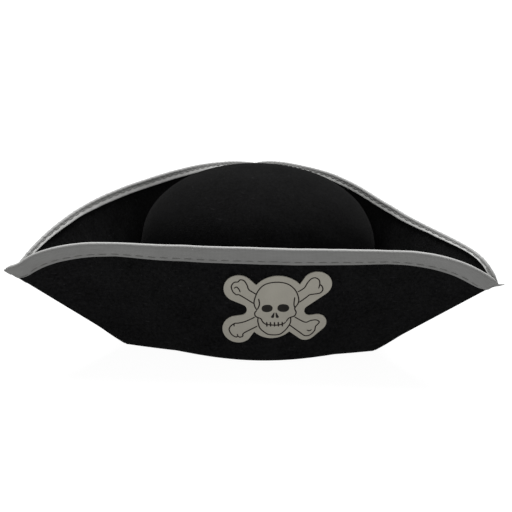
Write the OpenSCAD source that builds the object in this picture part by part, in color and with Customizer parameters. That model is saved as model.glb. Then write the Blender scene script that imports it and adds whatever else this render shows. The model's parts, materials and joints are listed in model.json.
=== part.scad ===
// Felt tricorn costume hat with a skull patch, in millimetres.
// Origin: centre of the head opening, in the plane of the hat's base.
// +Z is up, -Y is the front panel's side, +X is to the right seen from the front.
// Azimuths are degrees round the crown, from the front (0) through +X (90) to the rear (180).

/* [Head opening] */
// Radius of the round head opening, for a 57 cm head
head_r = 91; // [88:0.5:93]
// Height of the sweatband
band_h = 30; // [20:1:36]
// Thickness of the sweatband
band_t = 1; // [0.6:0.1:1]

/* [Crown] */
// Thickness of the crown's moulded felt
crown_t = 3; // [2:0.5:3]
// Height of the crown
crown_h = 127.5; // [115:0.5:135]
// Height of the crown's rounded part
dome_h = 66; // [55:1:72]
// Roundness of the dome, where 2 is an ellipse
dome_power = 2.25; // [2:0.05:2.6]

/* [Brim] */
// Thickness of the brim's felt
felt_t = 2.5; // [2:0.25:2.75]
// Distance of the fold from the crown's axis, in the middle of a panel
fold_r = 99.5; // [99:0.5:103]
// Length of the bend that turns a panel up, in its middle
bend_mid = 14; // [8:1:18]
// Length of that bend at a panel's corners
bend_corner = 2; // [1.5:0.5:4]
// How far the brim sits to the left of the crown's axis
brim_shift = 4; // [0:0.5:5]
// Distance of the front corners from the brim's middle
front_foot_r = 119; // [112:1:124]
// Azimuth of the front corners
front_foot_az = 54.5; // [52:0.5:58]
// Distance of the rear corner from the brim's middle
rear_foot_r = 113; // [110:1:118]
// Distance of the left and right points from the brim's middle
side_point_r = 216; // [205:1:222]
// Azimuth of the left and right points
side_point_az = 57; // [55:0.5:60]
// Distance of the rear point from the brim's middle
rear_point_r = 212; // [200:1:220]
// Height of the left and right points
side_point_z = 74; // [66:1:80]
// Height of the rear point
rear_point_z = 75; // [66:1:80]

/* [Panel tops] */
// Rise of the front panel's top edge above its points
front_rise = 21; // [14:1:26]
// Flatness of the front panel's top edge
front_flatness = 6.6; // [3:0.2:8]
// Height of the two soft humps on the front panel's top edge
front_hump = 3; // [0:0.5:5]
// Rise of the left panel's top edge above its points
left_rise = 27; // [18:1:30]
// Rise of the right panel's top edge above its points
right_rise = 20.5; // [14:0.5:28]
// Flatness of the left and right panels' top edges
rear_flatness = 2.5; // [2:0.1:4]
// How much higher the left panel's front half is than its rear half
left_skew = 7; // [0:1:9]
// How much higher the right panel's rear half is than its front half
right_skew = 3; // [0:1:6]

/* [Bindings] */
// Thickness of the folded ribbon
ribbon_t = 0.7; // [0.5:0.1:0.9]
// Width of the front ribbon's outer leg
front_leg = 12; // [9:0.5:14]
// Width of the front ribbon's inner leg
front_inner_leg = 12; // [8:0.5:14]
// Width of the left and right ribbons' outer legs
rear_leg = 15; // [10:0.5:15]
// Width of the left ribbon's inner leg
left_inner_leg = 9.5; // [7:0.5:12]
// Width of the right ribbon's inner leg
right_inner_leg = 8; // [7:0.5:12]
// Radius of the sewing thread
thread_r = 0.35; // [0.25:0.05:0.4]

/* [Patch] */
// Distance of the patch's centre to the right of the crown's axis
patch_x = 15.5; // [-20:0.5:20]
// Height of the patch's centre, measured up the front panel
patch_up = 47; // [44:0.5:50]
// Thickness of the patch
patch_t = 1; // [0.6:0.1:1.4]
// Thickness of the adhesive film under it
film_t = 0.15; // [0.1:0.05:0.2]

/* [Hidden] */

felt_colour = "#17171a";
ribbon_colour = "#b9bab8";
thread_colour = "#a3a39f";
patch_colour = "#a29c8c";

crown_r = head_r + band_t + crown_t;
crown_wall_h = crown_h - dome_h;
crown_in_r = crown_r - crown_t;
ring_gap = 0.3;               // flange's inner edge to the crown
ring_r = crown_r + ring_gap;
seam_gap = 0.15;              // a panel's side edge to the seam's plane
glue_gap = 0.22;              // ribbon to felt

// Columns run along a panel, rows run up it. Flange columns stand on the fold,
// keel columns on the seam that climbs from a corner to a point.
fold_columns = 24;
keel_columns = 7;
columns = fold_columns + 2 * keel_columns;
bend_rows = 4;
wall_rows = 5;
rows = bend_rows + wall_rows;
fold_share = 0.55;            // part of the panel's length that stands on the fold
end_share = 0.965;            // where a panel stops, just short of its point
fold_flare = 2.2;             // how suddenly the fold flares out to its corners

up_axis = [0, 0, 1];
shift = [-brim_shift, 0, 0];

function at(r, az, z) = [r * sin(az), -r * cos(az), z];
function mix(a, b, t) = a * (1 - t) + b * t;
function unit(v) = v / norm(v);
function flat(v) = [v.x, v.y, 0];
function azimuth(p) = atan2(p.x, -p.y);

right_foot = shift + at(front_foot_r, front_foot_az, 0);
left_foot = shift + at(front_foot_r, -front_foot_az, 0);
rear_foot = shift + at(rear_foot_r, 180, 0);
right_point = shift + at(side_point_r, side_point_az, side_point_z);
left_point = shift + at(side_point_r, -side_point_az, side_point_z);
rear_point = shift + at(rear_point_r, 180, rear_point_z);
rear_az = azimuth(rear_foot);

// A panel: corners, points, azimuths of its corners, and the top edge's rise,
// flatness, hump and skew. All three run the same way round the crown.
FRONT = [left_foot, right_foot, left_point, right_point,
    azimuth(left_foot), azimuth(right_foot), front_rise, front_flatness, front_hump, 0];
RIGHT = [right_foot, rear_foot, right_point, rear_point,
    azimuth(right_foot), rear_az + (rear_az < 0 ? 360 : 0),
    right_rise, rear_flatness, 0, right_skew];
LEFT = [rear_foot, left_foot, rear_point, left_point,
    rear_az - (rear_az > 0 ? 360 : 0), azimuth(left_foot),
    left_rise, rear_flatness, 0, left_skew];

// Place of column i along the panel, from -1 to 1
function column_s(i) =
    i < keel_columns ? mix(-end_share, -fold_share, i / keel_columns)
    : i <= keel_columns + fold_columns
        ? mix(-fold_share, fold_share, (i - keel_columns) / fold_columns)
    : mix(fold_share, end_share, (i - keel_columns - fold_columns) / keel_columns);

// Top edge of the panel at s
function top_rise(p, s) =
    p[6] * (1 - pow(abs(s), p[7]))
    + p[8] * 16 * pow(s * s * (1 - s * s), 2)
    + p[9] * s * (1 - s * s);
function top_edge(p, s) = mix(p[2], p[3], (s + 1) / 2) + up_axis * top_rise(p, s);

// Sharp corner of the fold at s, before the bend rounds it
function fold_radius(p, f) =
    let (end_r = norm(flat(f < 0 ? p[0] : p[1])))
    fold_r + (end_r - fold_r) * pow(abs(f), fold_flare);
function fold_line(p, f) = at(fold_radius(p, f), mix(p[4], p[5], (f + 1) / 2), 0);

// Side plane of the seam under the keel: its unit normal points into the panel
function seam_normal(p, side) =
    let (foot = side < 0 ? p[0] : p[1], tip = side < 0 ? p[2] : p[3])
    unit(cross(up_axis, flat(tip - foot))) * (side < 0 ? 1 : -1);
// Foot of a wall: the fold's corner, or a point on the keel
function wall_foot(p, s) =
    let (f = s / fold_share, side = s < 0 ? -1 : 1)
    abs(s) <= fold_share
        ? fold_line(p, f) + seam_normal(p, side) * seam_gap * pow(abs(f), 30)
        : let (k = (abs(s) - fold_share) / (1 - fold_share))
          mix(side < 0 ? p[0] : p[1], side < 0 ? p[2] : p[3], k)
          + seam_normal(p, side) * seam_gap;

function wall_dir(p, s) = unit(top_edge(p, s) - wall_foot(p, s));
step = 0.004;
function wall_point(p, s, v) = mix(wall_foot(p, s), top_edge(p, s), v);
function on_keel(s) = abs(s) > fold_share;
function wall_normal(p, s, v) =
    let (a = s > 0 ? s - step : s, b = s > 0 ? s : s + step)
    unit(cross(wall_dir(p, s), wall_point(p, b, v) - wall_point(p, a, v)));

// Length of the bend and its three control points: on the flange, at the
// sharp corner and on the wall
function bend_length(f) = mix(bend_mid, bend_corner, pow(abs(f), 4));
function ring_point(p, f) =
    at(ring_r, azimuth(fold_line(p, f)), 0)
    + seam_normal(p, f < 0 ? -1 : 1) * seam_gap * pow(abs(f), 30);
function bend_start(p, s) =
    let (f = s / fold_share, a = ring_point(p, f), c = wall_foot(p, s))
    c + (a - c) * min(0.999, bend_length(f) / norm(a - c));
function bend_end(p, s) =
    wall_foot(p, s) + wall_dir(p, s) * bend_length(s / fold_share);
function keel_offset(n) = up_axis * felt_t / max(0.3, n.z);

// Thickness vectors, from the outer to the inner surface
function corner_offset(p, s) =
    let (n = wall_normal(p, s, 0), c = wall_foot(p, s), inward = -unit(flat(c)))
    up_axis * felt_t + inward * felt_t * (1 - n.z) / max(0.3, norm(flat(n)));
function bend_offset(p, s, u) =
    let (n = wall_normal(p, s, 0.1), w = pow(abs(s / fold_share), 8),
        a = up_axis * felt_t,
        c = mix(corner_offset(p, s), keel_offset(n), w),
        b = mix(n * felt_t, keel_offset(n), w))
    a * (1 - u) * (1 - u) + c * 2 * u * (1 - u) + b * u * u;
function wall_offset(p, s, v) =
    let (n = wall_normal(p, s, v),
        w = on_keel(s) ? 1 - v : pow(abs(s / fold_share), 8) * (1 - v))
    mix(n * felt_t, keel_offset(wall_normal(p, s, 0.1)), w);

// Outer surface and thickness at column s, row j. Row 0 is the flange's inner
// edge, row bend_rows the end of the bend, the last row the top edge.
function wall_start(p, s) =
    on_keel(s) ? wall_foot(p, s) : bend_end(p, s);
function skin(p, s, j) =
    j == 0 ? ring_point(p, s / fold_share)
    : j <= bend_rows
        ? (on_keel(s) ? wall_start(p, s)
            : let (u = (j - 1) / (bend_rows - 1), a = bend_start(p, s),
                c = wall_foot(p, s), b = bend_end(p, s))
              a * (1 - u) * (1 - u) + c * 2 * u * (1 - u) + b * u * u)
    : mix(wall_start(p, s), top_edge(p, s), (j - bend_rows) / wall_rows);
function thickness(p, s, j) =
    j == 0 ? up_axis * felt_t
    : j < bend_rows ? bend_offset(p, s, (j - 1) / (bend_rows - 1))
    : wall_offset(p, s, (j - bend_rows) / wall_rows);

// Index of a surface vertex: layer 0 is outside, layer 1 inside
function vertex(layer, i, j) = (layer * (columns + 1) + i) * (rows + 1) + j;
function quad(a, b, c, d) = [[a, b, c], [a, c, d]];
function is_fold(i) = i >= keel_columns && i < keel_columns + fold_columns;
function first_row(i) = is_fold(i) ? 0 : bend_rows;

// Closed outline of the panel as [column, row] pairs
fold_first = keel_columns;
fold_last = keel_columns + fold_columns;
OUTLINE = concat(
    [for (i = [fold_first:fold_last]) [i, 0]],
    [for (j = [1:bend_rows]) [fold_last, j]],
    [for (i = [fold_last + 1:columns]) [i, bend_rows]],
    [for (j = [bend_rows + 1:rows]) [columns, j]],
    [for (i = [columns - 1:-1:0]) [i, rows]],
    [for (j = [rows - 1:-1:bend_rows]) [0, j]],
    [for (i = [1:fold_first]) [i, bend_rows]],
    [for (j = [bend_rows - 1:-1:1]) [fold_first, j]]
);
OUTLINE_SIZE = len(OUTLINE);

// Turned-up felt panel with its flange
module brim_panel(p) {
    points = [
        for (layer = [0, 1])
            for (i = [0:columns])
                for (j = [0:rows])
                    let (s = column_s(i))
                    skin(p, s, j) + thickness(p, s, j) * layer
    ];
    faces = [
        for (i = [0:columns - 1])
            for (j = [first_row(i):rows - 1])
                each quad(vertex(0, i, j), vertex(0, i, j + 1),
                    vertex(0, i + 1, j + 1), vertex(0, i + 1, j)),
        for (i = [0:columns - 1])
            for (j = [first_row(i):rows - 1])
                each quad(vertex(1, i, j), vertex(1, i + 1, j),
                    vertex(1, i + 1, j + 1), vertex(1, i, j + 1)),
        for (k = [0:OUTLINE_SIZE - 1])
            let (a = OUTLINE[k], b = OUTLINE[(k + 1) % OUTLINE_SIZE])
            each quad(vertex(0, a[0], a[1]), vertex(0, b[0], b[1]),
                vertex(1, b[0], b[1]), vertex(1, a[0], a[1]))
    ];
    color(felt_colour)
        polyhedron(points = points, faces = faces, convexity = 8);
}

// Ribbon folded over a panel's top edge: a U in eight corners, swept along it
function wall_length(p, s) = norm(top_edge(p, s) - wall_start(p, s));
// Point on the felt's inner face, a distance below the top edge
function inner_face(p, s, down) =
    let (v = 1 - down / wall_length(p, s))
    mix(wall_start(p, s), top_edge(p, s), v) + wall_offset(p, s, v);
function ribbon_corners(p, s, leg, inner_leg) =
    let (
        n = wall_normal(p, s, 1),
        up = wall_dir(p, s),
        top = top_edge(p, s),
        seam_clear = felt_t * 2.2 + 3.5,
        out_len = min(leg, wall_length(p, s) - 1),
        in_len = min(inner_leg, wall_length(p, s) - seam_clear),
        low = inner_face(p, s, in_len),
        near = glue_gap,
        far = glue_gap + ribbon_t
    )
    [
        top - n * far - up * out_len,
        top - n * far + up * far,
        top + n * (felt_t + far) + up * far,
        low + n * far,
        low + n * near,
        top + n * (felt_t + near) + up * near,
        top - n * near + up * near,
        top - n * near - up * out_len
    ];

// Section on column i; the end sections stand a little inside the felt's ends
ribbon_trim = 0.17;
function ribbon_section(p, i, leg, inner_leg) =
    let (
        here = ribbon_corners(p, column_s(i), leg, inner_leg),
        k = i == 0 ? 1 : i == columns ? columns - 1 : i
    )
    k == i ? here : mix(here, ribbon_corners(p, column_s(k), leg, inner_leg), ribbon_trim);

module edge_binding(p, leg, inner_leg) {
    corners = 8;
    outer_near = 6;           // this face is split along the felt's own diagonal
    points = [
        for (i = [0:columns])
            each ribbon_section(p, i, leg, inner_leg)
    ];
    last = columns * corners;
    side_faces = [
        for (i = [0:columns - 1])
            for (c = [0:corners - 1])
                let (d = (c + 1) % corners, a = i * corners, b = a + corners)
                each c == outer_near
                    ? quad(a + d, b + d, b + c, a + c)
                    : quad(a + c, a + d, b + d, b + c)
    ];
    start_cap = [[0, 7, 6], [0, 6, 1], [1, 6, 5], [1, 5, 2], [2, 5, 4], [2, 4, 3]];
    end_cap = [for (f = start_cap) [last + f[0], last + f[2], last + f[1]]];
    color(ribbon_colour)
        polyhedron(points = points, faces = concat(side_faces, start_cap, end_cap), convexity = 8);
}

// Straight thread from one point to another
module thread(from, to) {
    v = to - from;
    translate(from)
        rotate([0, acos(v.z / norm(v)), atan2(v.y, v.x)])
            cylinder(h = norm(v), r = thread_r, $fn = 16);
}

// One stitch on each column of the ribbon, on its outer and its inner face
stitch_down = 0.8;            // how far down the leg the row runs
stitch_fill = 0.7;            // thread's share of a stitch's pitch
stitch_lift = thread_r + 0.22;
module stitch_row(p, leg, inner_leg) {
    color(thread_colour)
        for (i = [1:columns - 2]) {
            a = ribbon_corners(p, column_s(i), leg, inner_leg);
            b = ribbon_corners(p, column_s(i + 1), leg, inner_leg);
            n = wall_normal(p, column_s(i + 0.5), 1);
            inset = (1 - stitch_fill) / 2;
            for (face = [[1, 0, -1], [2, 3, 1]]) {
                from = mix(a[face[0]], a[face[1]], stitch_down);
                to = mix(b[face[0]], b[face[1]], stitch_down);
                lift = n * stitch_lift * face[2];
                thread(mix(from, to, inset) + lift, mix(from, to, 1 - inset) + lift);
            }
        }
}

// Threads that close a point, across the ends of the two panels that meet there
point_stitches = 3;
point_clear = 0.8;
module point_row(p, q) {
    color(thread_colour)
        for (k = [1:point_stitches]) {
            v = k / (point_stitches + 1);
            a = mix(wall_start(p, end_share), top_edge(p, end_share), v);
            b = mix(wall_start(q, -end_share), top_edge(q, -end_share), v);
            a_out = unit(flat(p[3] - p[2])) - 0.3 * wall_normal(p, end_share, 1);
            b_out = unit(flat(q[2] - q[3])) - 0.3 * wall_normal(q, -end_share, 1);
            thread(a + a_out * point_clear, b + b_out * point_clear);
        }
}

module crown() {
    dome_steps = 20;
    function dome(r, h, k) =
        let (a = 90 * k / dome_steps)
        [k == dome_steps ? 0 : r * pow(cos(a), 2 / dome_power),
            crown_wall_h + h * pow(sin(a), 2 / dome_power)];
    outer = [for (k = [0:dome_steps]) dome(crown_r, dome_h, k)];
    inner = [for (k = [dome_steps:-1:0]) dome(crown_in_r, dome_h - crown_t, k)];
    color(felt_colour)
        rotate_extrude($fn = 96)
            polygon(concat([[crown_in_r, 0], [crown_r, 0]], outer, inner));
}

// Band glued and stitched round the inside of the head opening
seat_gap = 0.05;
module sweatband() {
    color("#26231f")
        rotate_extrude($fn = 96)
            translate([head_r, 0])
                square([band_t - seat_gap, band_h]);
}

// Ring of short threads: along the ring, or up it
module thread_ring(r, z, count, along, up) {
    color(thread_colour)
        for (k = [0:count - 1])
            rotate([0, 0, 360 * (k + 0.5) / count])
                thread([r, -along / 2, z], [r, along / 2, z + up]);
}

module sweatband_stitches() {
    thread_ring(head_r + band_t / 2, band_h + thread_r + seat_gap, 64, 5, 0);
}

// Whip stitches that hold the brim to the crown, just above the flange
module crown_seam_stitches() {
    thread_ring(crown_r + thread_r + seat_gap, felt_t + 1.4, 72, 0, 4);
}

module front_brim() { brim_panel(FRONT); }
module right_brim() { brim_panel(RIGHT); }
module left_brim() { brim_panel(LEFT); }
module front_binding() { edge_binding(FRONT, front_leg, front_inner_leg); }
module right_binding() { edge_binding(RIGHT, rear_leg, right_inner_leg); }
module left_binding() { edge_binding(LEFT, rear_leg, left_inner_leg); }
module front_binding_stitches() { stitch_row(FRONT, front_leg, front_inner_leg); }
module right_binding_stitches() { stitch_row(RIGHT, rear_leg, right_inner_leg); }
module left_binding_stitches() { stitch_row(LEFT, rear_leg, left_inner_leg); }
module right_point_stitches() { point_row(FRONT, RIGHT); }
module rear_point_stitches() { point_row(RIGHT, LEFT); }
module left_point_stitches() { point_row(LEFT, FRONT); }

// Layer that lies on the front panel's outer face, between two distances from it
layer_first = keel_columns + 6;
layer_last = keel_columns + 23;
module front_layer(near, far) {
    across = layer_last - layer_first + 1;
    up = wall_rows + 1;
    points = [
        for (d = [near, far])
            for (i = [layer_first:layer_last])
                for (j = [bend_rows:rows])
                    let (s = column_s(i), v = (j - bend_rows) / wall_rows)
                    skin(FRONT, s, j) - wall_normal(FRONT, s, v) * d
    ];
    function at_grid(layer, i, j) = (layer * across + i) * up + j;
    rim = concat(
        [for (i = [0:across - 1]) [i, 0]],
        [for (j = [1:up - 1]) [across - 1, j]],
        [for (i = [across - 2:-1:0]) [i, up - 1]],
        [for (j = [up - 2:-1:1]) [0, j]]
    );
    faces = [
        for (i = [0:across - 2])
            for (j = [0:up - 2])
                each quad(at_grid(0, i, j), at_grid(0, i + 1, j),
                    at_grid(0, i + 1, j + 1), at_grid(0, i, j + 1)),
        for (i = [0:across - 2])
            for (j = [0:up - 2])
                each quad(at_grid(1, i, j), at_grid(1, i, j + 1),
                    at_grid(1, i + 1, j + 1), at_grid(1, i + 1, j)),
        for (k = [0:len(rim) - 1])
            let (a = rim[k], b = rim[(k + 1) % len(rim)])
            each quad(at_grid(0, a[0], a[1]), at_grid(1, a[0], a[1]),
                at_grid(1, b[0], b[1]), at_grid(0, b[0], b[1]))
    ];
    polyhedron(points = points, faces = faces, convexity = 4);
}

// Outline of the patch: a rounded skull over two crossed bones
lobe_r = 11.8;
lobe_places = [[-29, 18], [29.5, 19], [27.5, -18.5], [-29, -18.5]];
bone_w = 17;
module patch_outline(inset) {
    translate([0, 4]) circle(r = 23.6 - inset, $fn = 64);
    translate([-1, -14]) circle(r = 13.5 - inset, $fn = 64);
    for (place = lobe_places) {
        translate(place) circle(r = lobe_r - inset, $fn = 64);
        rotate(atan2(place.y, place.x))
            translate([0, inset - bone_w / 2])
                square([norm(place), bone_w - 2 * inset]);
    }
}

// Cuts the outline out of a layer on the front panel
module die_cut(near, far, inset) {
    s = (patch_x + brim_shift) / (right_point.x + brim_shift);
    centre = wall_foot(FRONT, s) + wall_dir(FRONT, s) * patch_up;
    lean = atan2(-wall_dir(FRONT, s).y, wall_dir(FRONT, s).z);
    reach = 30;
    intersection() {
        front_layer(near, far);
        translate([patch_x, centre.y, centre.z])
            rotate([90 + lean, 0, 0])
                translate([0, 0, -reach / 2])
                    linear_extrude(height = reach)
                        patch_outline(inset);
    }
}

film_near = 0.05;
film_inset = 1.5;
module patch_adhesive() {
    color("#d8d2b0")
        die_cut(film_near, film_near + film_t, film_inset);
}

module skull_patch() {
    near = film_near + film_t + 0.02;
    color(patch_colour)
        die_cut(near, near + patch_t, 0);
}

crown();
sweatband();
sweatband_stitches();
crown_seam_stitches();
front_brim();
right_brim();
left_brim();
front_binding();
right_binding();
left_binding();
front_binding_stitches();
right_binding_stitches();
left_binding_stitches();
left_point_stitches();
right_point_stitches();
rear_point_stitches();
skull_patch();
patch_adhesive();
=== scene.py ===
"""Visual model of a felt tricorn costume hat with a skull patch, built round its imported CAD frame.

Geometry is worked out in millimetres, in the CAD frame: the origin is the centre of the head
opening, +Z is up and -Y is the front panel's side. Azimuths are degrees round the crown, from
the front (0) through +X (90) to the rear (180). build() turns millimetres into metres.
"""
import json
import math

import bmesh
import bpy
import numpy as np
from mathutils import Matrix, Vector, geometry

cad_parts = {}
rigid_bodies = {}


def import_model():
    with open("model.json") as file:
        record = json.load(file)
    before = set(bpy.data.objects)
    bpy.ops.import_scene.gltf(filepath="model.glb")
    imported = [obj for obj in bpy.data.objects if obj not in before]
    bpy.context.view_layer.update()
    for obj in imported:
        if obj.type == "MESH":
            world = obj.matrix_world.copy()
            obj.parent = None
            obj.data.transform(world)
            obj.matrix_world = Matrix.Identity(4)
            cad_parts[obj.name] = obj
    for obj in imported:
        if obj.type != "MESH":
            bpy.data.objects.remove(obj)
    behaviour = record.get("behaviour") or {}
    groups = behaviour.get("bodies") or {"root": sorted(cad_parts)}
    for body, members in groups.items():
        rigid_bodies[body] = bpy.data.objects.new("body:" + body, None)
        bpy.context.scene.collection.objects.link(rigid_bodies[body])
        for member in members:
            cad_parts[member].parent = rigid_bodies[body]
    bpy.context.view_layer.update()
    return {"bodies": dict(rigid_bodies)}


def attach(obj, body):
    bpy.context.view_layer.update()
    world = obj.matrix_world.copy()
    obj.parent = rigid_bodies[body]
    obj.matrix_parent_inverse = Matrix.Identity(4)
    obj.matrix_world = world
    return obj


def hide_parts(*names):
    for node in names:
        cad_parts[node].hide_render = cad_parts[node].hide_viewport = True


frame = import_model()
ROOT = next(iter(frame["bodies"]))
MM = 0.001

# ---------------------------------------------------------------- dimensions
# Most are the CAD model's. The crown's height, fold radius, bend corner, ribbon legs and thickness,
# patch and panel outlines below are not: they are listed here and differ by a few millimetres.
HEAD_R, BAND_H, BAND_T = 91.0, 30.0, 0.95
CROWN_R, CROWN_T, CROWN_H = 95.0, 3.0, 125.4
DOME_H, DOME_POWER = 66.0, 2.25
FELT_T = 2.5
FOLD_R, RING_R = 98.0, 95.3
BEND_MID, BEND_CORNER = 14.0, 0.8
BRIM_SHIFT = 4.0
FRONT_FOOT_R, FRONT_FOOT_AZ, REAR_FOOT_R = 119.0, 54.5, 113.0
SIDE_POINT_R, SIDE_POINT_AZ, REAR_POINT_R = 216.0, 57.0, 212.0
SIDE_POINT_Z, REAR_POINT_Z = 74.0, 75.0
FOLD_SHARE, FOLD_FLARE = 0.55, 2.2
FRONT_LEG, REAR_LEG = 10.6, 15.0
FRONT_INNER_LEG, LEFT_INNER_LEG, RIGHT_INNER_LEG = 11.0, 5.2, 4.0
RIBBON_T, RIBBON_GAP = 0.5, 0.15
PATCH_X, PATCH_UP, PATCH_T = 15.5, 49.0, 1.0
PATCH_SHARE = 0.98            # width of the patch's drawing as laid on the felt
FILM_NEAR, FILM_T, FILM_INSET = 0.05, 0.15, 1.5
STITCH_DOWN, INNER_ROW = 0.8, 0.34    # places of the stitch rows on a ribbon's legs, from its fold

# ---------------------------------------------------------------- fineness of the visual meshes
KEEL_COLUMNS, FOLD_COLUMNS = 52, 130
BEND_ROWS, FLANGE_ROWS, WALL_ROWS = 14, 3, 56
END_SHARE = 0.997
FELT_ROUNDING = 0.3
LOCK_THREAD_R, POINT_THREAD_R, RING_THREAD_R = 0.26, 0.26, 0.3
RAW_END = 0.6                 # bare edge at each end of a ribbon

UP = np.array([0.0, 0.0, 1.0])


# ---------------------------------------------------------------- vectors, on arrays of any shape
def at(radius, azimuth, z=0.0):
    a = np.radians(azimuth)
    return np.stack([radius * np.sin(a), -radius * np.cos(a), z + 0 * a], -1)


def mix(a, b, t):
    return a * (1 - t) + b * t


def unit(v):
    return v / np.maximum(np.linalg.norm(v, axis=-1, keepdims=True), 1e-9)


def flattened(v):
    """Vectors with their height removed."""
    return v * np.array([1, 1, 0])


def run_along(line):
    """Distance along a line at each of its points."""
    return np.concatenate([[0], np.cumsum(np.linalg.norm(np.diff(line, axis=0), axis=1))])


def azimuth(p):
    return math.degrees(math.atan2(p[0], -p[1]))


def smooth(x, low, high):
    t = np.clip((x - low) / (high - low), 0, 1)
    return t * t * (3 - 2 * t)


def ripple(x, seed, octaves=4):
    """Smooth noise of about -1 to 1 along x, with a wavelength near 1; the seed picks the curve."""
    total = 0 * x
    for k in range(octaves):
        rate = (0.61, 1.0, 1.73, 2.9)[k] * (1 + 0.07 * math.sin(seed * 3.1 + k))
        total = total + np.sin(2 * math.pi * rate * x + seed * 1.7 + 2.4 * k) * (0.9, 1.0, 0.7, 0.4)[k]
    return total / 2.2


SHIFT = np.array([-BRIM_SHIFT, 0, 0])
RIGHT_FOOT = SHIFT + at(FRONT_FOOT_R, FRONT_FOOT_AZ)
LEFT_FOOT = SHIFT + at(FRONT_FOOT_R, -FRONT_FOOT_AZ)
REAR_FOOT = SHIFT + at(REAR_FOOT_R, 180.0)
RIGHT_POINT = SHIFT + at(SIDE_POINT_R, SIDE_POINT_AZ, SIDE_POINT_Z)
LEFT_POINT = SHIFT + at(SIDE_POINT_R, -SIDE_POINT_AZ, SIDE_POINT_Z)
REAR_POINT = SHIFT + at(REAR_POINT_R, 180.0, REAR_POINT_Z)


# ---------------------------------------------------------------- brim panels
class Panel:
    """A turned-up felt panel. s runs along it from -1 to 1 and v up its wall from 0 to 1."""

    SEAM_GAP = 0.04
    TOE_R, TOE_LIFT = 3.2, 1.1    # rounding of the fold along a keel
    PINCH = 0.6                   # how fast the felt thins towards a point, in mm per mm
    KNOTS, BLURS, SPREAD = 1601, 9, 0.3

    def __init__(self, feet, points, rise, flatness, hump=0.0, skew=0.0, bump=(0.0, 0.0, 1.0), edge=FELT_T,
                 drop=0.0, seed=0.0, sway=0.6):
        self.feet, self.points = feet, points
        self.drop = unit(feet[1] - points[1]) * drop
        self.turn = [azimuth(feet[0]), azimuth(feet[1])]
        if self.turn[1] < self.turn[0]:
            self.turn[1] += 360
        self.rise, self.flatness, self.hump, self.skew = rise, flatness, hump, skew
        self.bump, self.edge = bump, edge
        self.seed, self.sway = seed, sway
        self.normals = [unit(np.cross(UP, flattened(points[k] - feet[k]))) * (1, -1)[k] for k in (0, 1)]
        self.half = np.linalg.norm(points[1] - points[0]) / 2
        self.table = self.blurred_folds()

    def side(self, s):
        return (s > 0)[..., None]

    def top(self, s):
        flatness = np.where(s < 0, self.flatness[0], self.flatness[1])
        rise = self.rise * (1 - np.abs(s) ** flatness)
        rise = rise + self.hump * 16 * (s * s * (1 - s * s)) ** 2 + self.skew * s * (1 - s * s)
        height, centre, width = self.bump
        rise = rise + height * np.exp(-((s - centre) / width) ** 2) * (1 - s ** 8)
        chord = mix(self.points[0], self.points[1], ((s + 1) / 2)[..., None])
        return chord + UP * rise[..., None] + self.drop * (np.clip(s, 0, 1) ** 5)[..., None]

    def fold(self, s):
        """Corner of the fold under the wall, or the keel's line past the panel's corners."""
        f = np.clip(s / FOLD_SHARE, -1, 1)
        k = np.clip((np.abs(s) - FOLD_SHARE) / (1 - FOLD_SHARE), 0, 1)[..., None]
        radii = [np.linalg.norm(flattened(foot)) for foot in self.feet]
        end_r = np.where(f < 0, radii[0], radii[1])
        radius = FOLD_R + (end_r - FOLD_R) * np.abs(f) ** FOLD_FLARE
        curve = at(radius, mix(self.turn[0], self.turn[1], (f + 1) / 2))
        right = self.side(s)
        keel = mix(np.where(right, self.feet[1], self.feet[0]),
                   np.where(right, self.points[1] + self.drop, self.points[0]), k)
        clear = np.where(right, self.normals[1], self.normals[0]) * self.SEAM_GAP
        line = np.where(np.abs(s)[..., None] <= FOLD_SHARE, curve, keel)
        return line + clear * (np.abs(f) ** 30)[..., None]

    def blurred_folds(self):
        """Table of the fold's line, blurred along s more and more from row to row."""
        knots, rows = np.linspace(-1, 1, self.KNOTS), []
        taps = np.linspace(-1.6, 1.6, 9)
        weights = [math.exp(-k * k) for k in taps]
        for spread in np.linspace(0, self.SPREAD, self.BLURS):
            shifted = [self.fold(np.clip(knots + k * spread, -1, 1)) for k in taps]
            rows.append(sum(w * line for w, line in zip(weights, shifted)) / sum(weights))
        return np.stack(rows)

    def soft_fold(self, s, v):
        """The fold's line as the wall feels it: blurred along s, more so further up."""
        x = np.clip((s + 1) / 2, 0, 1) * (self.KNOTS - 1)
        y = smooth(v, 0, 1) * (self.BLURS - 1)
        i = np.minimum(x.astype(int), self.KNOTS - 2)
        j = np.minimum(y.astype(int), self.BLURS - 2)
        x, y = (x - i)[..., None], (y - j)[..., None]
        table = self.table
        return mix(mix(table[j, i], table[j, i + 1], x), mix(table[j + 1, i], table[j + 1, i + 1], x), y)

    def length(self, s):
        return np.linalg.norm(self.top(s) - self.fold(s), axis=-1)

    def wall(self, s, v):
        """Wall without its small waves."""
        s, v = np.broadcast_arrays(s, v)
        foot = self.soft_fold(s, v)
        point = mix(foot, self.top(s), v[..., None])
        on_keel = smooth(np.abs(s), FOLD_SHARE + 0.03, FOLD_SHARE + 0.12)
        near = np.clip(1 - v * self.length(s) / self.TOE_R, 0, 1) ** 2
        return point + UP * (self.TOE_LIFT * near * on_keel)[..., None]

    def normal(self, s, v):
        """Unit normal of the wall, towards the crown."""
        s, v = np.broadcast_arrays(s, v)
        step = 0.004
        s0, s1 = np.clip(s - step, -1, 1), np.clip(s + step, -1, 1)
        v0, v1 = np.clip(v - 0.02, 0, 1), np.clip(v + 0.02, 0, 1)
        along = mix(self.soft_fold(s1, v), self.top(s1), v[..., None]) \
            - mix(self.soft_fold(s0, v), self.top(s0), v[..., None])
        up = mix(self.soft_fold(s, v1), self.top(s), v1[..., None]) \
            - mix(self.soft_fold(s, v0), self.top(s), v0[..., None])
        return unit(np.cross(up, along))

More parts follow.
